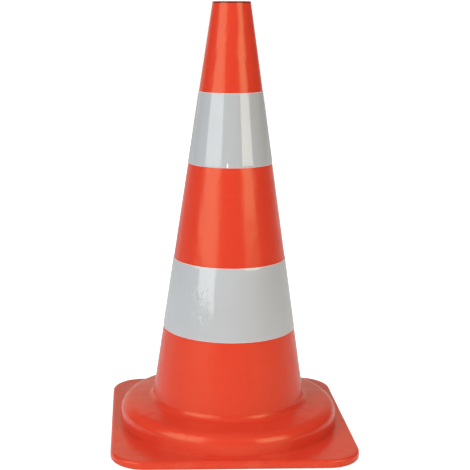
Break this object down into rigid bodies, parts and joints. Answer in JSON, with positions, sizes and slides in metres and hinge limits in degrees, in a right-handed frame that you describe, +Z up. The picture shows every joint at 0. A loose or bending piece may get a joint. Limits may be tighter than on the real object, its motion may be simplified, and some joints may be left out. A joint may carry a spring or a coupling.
{
  "type": "traffic cone",
  "caption": "Hollow tapering traffic cone on a rounded square base with a round step, two reflective sleeves and an open top socket; stacks over others.",
  "frame": {"origin": "on the floor under the cone's axis, level with the bottom of the feet", "axes": "+Z up along the cone's axis; X and Y along the sides of the square base, with +Y towards the back, where the sleeves are lapped"},
  "size_m": [0.277, 0.277, 0.5],
  "materials": {
    "orange_pvc": "satin soft PVC, slightly waxy, signal orange",
    "reflective_sheet": "glossy clear-coated light grey retroreflective sheet",
    "recycled_ballast": "matt dark grey recycled PVC, slightly grainy",
    "foot_rubber": "matt black rubber"
  },
  "bodies": {
    "root": {"cone_shell": "orange_pvc", "upper_reflective_sleeve": "reflective_sheet", "lower_reflective_sleeve": "reflective_sheet", "ballast_ring": "recycled_ballast", "base_plate": "recycled_ballast", "foot_pads": "foot_rubber"}
  },
  "joints": []
}
